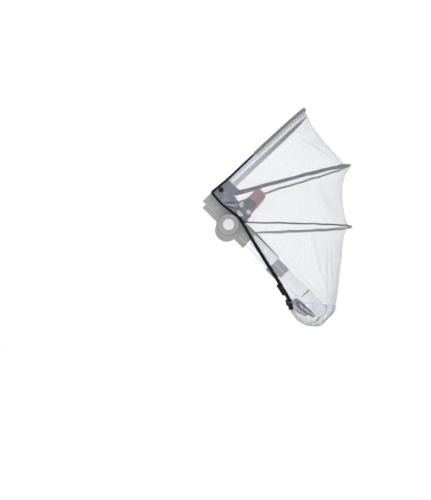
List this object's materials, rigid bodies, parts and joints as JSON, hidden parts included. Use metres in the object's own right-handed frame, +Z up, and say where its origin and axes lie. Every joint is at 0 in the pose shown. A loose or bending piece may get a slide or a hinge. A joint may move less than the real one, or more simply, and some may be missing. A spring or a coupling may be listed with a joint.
{
  "type": "stroller mosquito net on a stroller seat frame",
  "caption": "Sheer net tent on flat fabric-cased hoops, drawn by an elastic edge over a stroller seat frame, its hood bow and bumper bar, with a gathered foot pocket.",
  "frame": {"origin": "on the outer face of the right hub cap, on the hub axis", "axes": "+X towards the foot end, +Y from the right side to the left side, +Z up"},
  "size_m": [0.5029, 0.472, 0.7313],
  "materials": {
    "net": "fine white net, sheer",
    "grey_tape": "flat woven grey tape",
    "black_elastic": "ribbed elastic, matt",
    "patch_cloth": "plain woven cloth, matt",
    "black_plastic": "satin moulding",
    "light_band": "stitched light cloth",
    "dark_trim": "woven edge trim",
    "grey_plastic": "fine-grained moulding",
    "white_plastic": "smooth moulding",
    "aluminium": "satin anodised",
    "leather": "smooth brown leather with a seam"
  },
  "bodies": {
    "root": {"net_top": "net", "net_middle": "net", "net_lower": "net", "net_pocket": "net", "hoop_upper": "grey_tape", "hoop_lower": "grey_tape", "binding_right": "black_elastic", "binding_left": "black_elastic", "patch_right": "patch_cloth", "patch_left": "patch_cloth", "snap_right": "black_plastic", "snap_left": "black_plastic", "slider_right": "black_plastic", "slider_left": "black_plastic", "clip_right": "black_plastic", "clip_left": "black_plastic", "hood_bow": "light_band", "bow_edge": "dark_trim", "hood_trim": "dark_trim", "hub_right": "grey_plastic", "hub_left": "grey_plastic", "hub_cap_right": "white_plastic", "hub_cap_left": "white_plastic", "tube_upper_right": "aluminium", "tube_upper_left": "aluminium", "tube_block_right": "grey_plastic", "tube_block_left": "grey_plastic", "tube_lower_right": "aluminium", "tube_lower_left": "aluminium", "foot_loop": "aluminium", "adaptor_right": "grey_plastic", "adaptor_left": "grey_plastic", "bar_end_right": "grey_plastic", "bar_end_left": "grey_plastic", "bumper_bar": "leather"}
  },
  "joints": []
}
